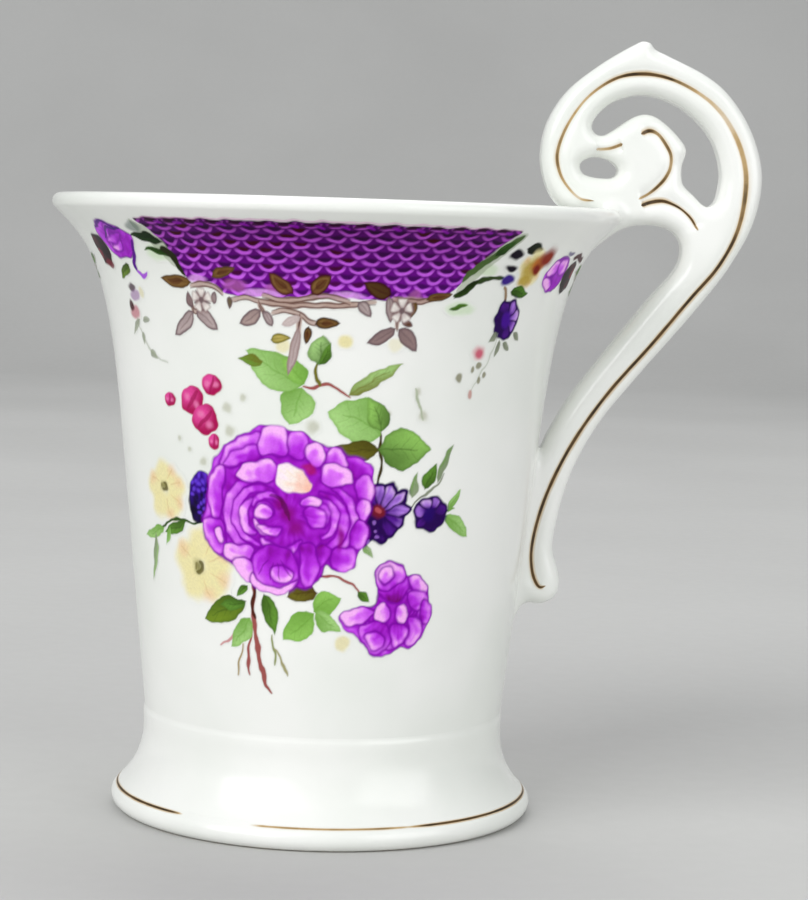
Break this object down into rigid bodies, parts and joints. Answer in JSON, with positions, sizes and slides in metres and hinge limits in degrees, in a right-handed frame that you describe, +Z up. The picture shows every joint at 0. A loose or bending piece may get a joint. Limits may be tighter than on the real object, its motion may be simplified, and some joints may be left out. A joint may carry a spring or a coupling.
{
  "type": "chocolate cup",
  "caption": "Tall footed porcelain cup for drinking chocolate, with a flared lip, an openwork scroll handle that rises above the rim, gilt lines and printed flowers.",
  "frame": {"origin": "on the cup's axis, in the plane that the foot stands on", "axes": "+Z up along the cup's axis, +X towards the handle, -Y towards the decorated front"},
  "size_m": [0.0948, 0.0762, 0.1049],
  "materials": {
    "porcelain": "clear gloss glaze over white porcelain",
    "slip": "fired clay slip",
    "gilding": "worn burnished gold line",
    "scale_enamel": "purple scale print under gloss",
    "flower_enamel": "many-coloured flower print under gloss",
    "garland_enamel": "many-coloured garland print under gloss"
  },
  "bodies": {
    "root": {"beaker": "porcelain", "foot": "porcelain", "handle": "porcelain", "foot_slip": "slip", "rim_slip": "slip", "root_slip": "slip", "foot_gilt_line": "gilding", "spine_gilt_front": "gilding", "spine_gilt_back": "gilding", "boss_gilt_front": "gilding", "boss_gilt_back": "gilding", "bridge_gilt_front": "gilding", "bridge_gilt_back": "gilding", "scale_panel_front": "scale_enamel", "scale_panel_back": "scale_enamel", "bouquet_front": "flower_enamel", "bouquet_back": "flower_enamel", "garland_handle_side": "garland_enamel", "garland_far_side": "garland_enamel"}
  },
  "joints": []
}
